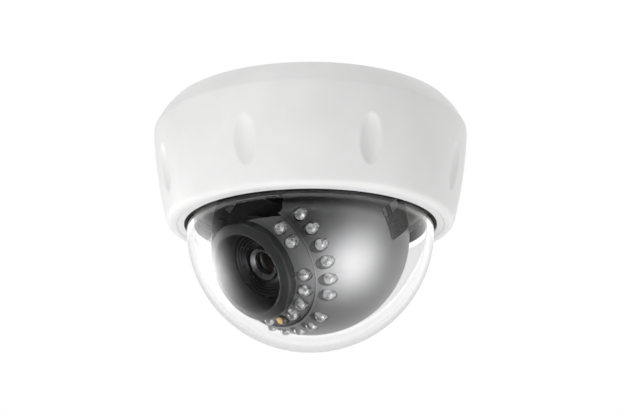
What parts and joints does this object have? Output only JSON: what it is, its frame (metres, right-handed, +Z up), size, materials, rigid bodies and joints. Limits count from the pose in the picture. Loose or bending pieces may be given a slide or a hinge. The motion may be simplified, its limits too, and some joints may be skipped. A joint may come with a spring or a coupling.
{
  "type": "dome cctv camera",
  "caption": "Ceiling-mounted dome camera: twist-off tapered cover with a clear half-sphere, and inside it a lens ball with infrared LED rings that pans, tilts and rolls.",
  "frame": {"origin": "centre of the mounting face that meets the ceiling", "axes": "+Z up into the ceiling, along the pan axis; -Y towards the side with the viewer; the lens rests turned to -X -Y and 37.5 degrees below level"},
  "size_m": [0.1304, 0.1304, 0.101],
  "materials": {
    "cover_white": "satin moulded, off-white",
    "clear_dome": "clear polycarbonate, polished",
    "black_rubber": "matt black",
    "cream_plastic": "cream, unpainted",
    "circuit_board": "black solder resist",
    "dark_shell": "dark grey, glossy",
    "black_plastic": "matt black",
    "steel": "zinc plated",
    "led_resin": "water-clear epoxy",
    "sensor_amber": "amber epoxy",
    "bright_metal": "turned, bright",
    "lens_glass": "coated optical glass",
    "socket_white": "natural nylon",
    "coil_copper": "enamelled winding in a black case"
  },
  "bodies": {
    "root": {"base_plate": "cover_white", "ceiling_seal": "black_rubber", "rim_seal": "black_rubber", "power_board": "circuit_board", "board_screws": "steel", "power_socket": "socket_white", "video_socket": "socket_white", "base_components": "black_plastic", "chassis_ring": "cream_plastic", "chassis_screws": "steel"},
    "cover": {"cover_shell": "cover_white", "dome_window": "clear_dome", "dome_gasket": "black_rubber", "dome_clamp_ring": "cream_plastic", "clamp_screws": "steel"},
    "pan": {"turntable": "cream_plastic", "pan_retainer": "cream_plastic", "retainer_screws": "steel", "yoke": "steel", "yoke_screws": "steel"},
    "tilt": {"eyeball_shell": "dark_shell", "tilt_frame": "steel", "outer_led_board": "circuit_board", "outer_leds": "led_resin", "shell_screws": "steel", "pivot_screws": "steel"},
    "lock_right": {"tilt_lock_right": "black_plastic"},
    "lock_left": {"tilt_lock_left": "black_plastic"},
    "module": {"module_carrier": "black_plastic", "roll_retainer": "black_plastic", "face_cover": "dark_shell", "inner_led_board": "circuit_board", "inner_leds": "led_resin", "light_sensor": "sensor_amber", "lens_hood": "black_plastic", "lens_barrel": "black_plastic", "front_ring": "bright_metal", "front_glass": "lens_glass", "rear_glass": "lens_glass", "sensor_holder": "black_plastic", "filter_coil": "coil_copper", "sensor_board": "circuit_board", "image_sensor": "lens_glass", "board_pillars": "steel", "main_board": "circuit_board", "unit_screws": "steel", "main_chips": "black_plastic", "harness_socket": "socket_white", "button_case": "black_plastic"},
    "zoom": {"zoom_ring": "black_plastic", "zoom_lever": "black_plastic"},
    "focus": {"focus_ring": "black_plastic", "focus_lever": "black_plastic"},
    "filter": {"filter_carriage": "black_plastic", "infrared_filter": "lens_glass", "clear_filter": "lens_glass"},
    "button": {"button_plunger": "socket_white"}
  },
  "joints": [
    {"name": "cover_twist", "type": "hinge", "parent": "root", "child": "cover", "pos_m": [0, 0, -0.03], "axis": [0, 0, 1], "range_deg": [0, 26]},
    {"name": "pan_turn", "type": "hinge", "parent": "root", "child": "pan", "pos_m": [0, 0, -0.02], "axis": [0, 0, 1], "range_deg": [-170, 170]},
    {"name": "tilt_turn", "type": "hinge", "parent": "pan", "child": "tilt", "pos_m": [0, 0, -0.0534], "axis": [0.6794, -0.7337, 0], "range_deg": [-22.5, 32.5]},
    {"name": "roll_turn", "type": "hinge", "parent": "tilt", "child": "module", "pos_m": [0, 0, -0.0534], "axis": [-0.6174, -0.5718, -0.5402], "range_deg": [-90, 90]},
    {"name": "lock_turn_right", "type": "hinge", "parent": "tilt", "child": "lock_right", "pos_m": [0.033, -0.01033, -0.0534], "axis": [0.6794, -0.7337, 0], "range_deg": [0, 180]},
    {"name": "lock_turn_left", "type": "hinge", "parent": "tilt", "child": "lock_left", "pos_m": [-0.00776, 0.0337, -0.0534], "axis": [0.6794, -0.7337, 0], "range_deg": [-180, 0]},
    {"name": "zoom_turn", "type": "hinge", "parent": "module", "child": "zoom", "pos_m": [-0.00926, -0.00858, -0.0615], "axis": [-0.6174, -0.5718, -0.5402], "range_deg": [-35, 35]},
    {"name": "focus_turn", "type": "hinge", "parent": "module", "child": "focus", "pos_m": [-0.00432, -0.004, -0.05718], "axis": [-0.6174, -0.5718, -0.5402], "range_deg": [-35, 35]},
    {"name": "filter_slide", "type": "slide", "parent": "module", "child": "filter", "axis": [0.6794, -0.7337, 0], "range_m": [0, 0.0072]},
    {"name": "button_press", "type": "slide", "parent": "module", "child": "button", "axis": [-0.6174, -0.5718, -0.5402], "range_m": [0, 0.0005], "stiffness_N_per_m": 1500}
  ]
}
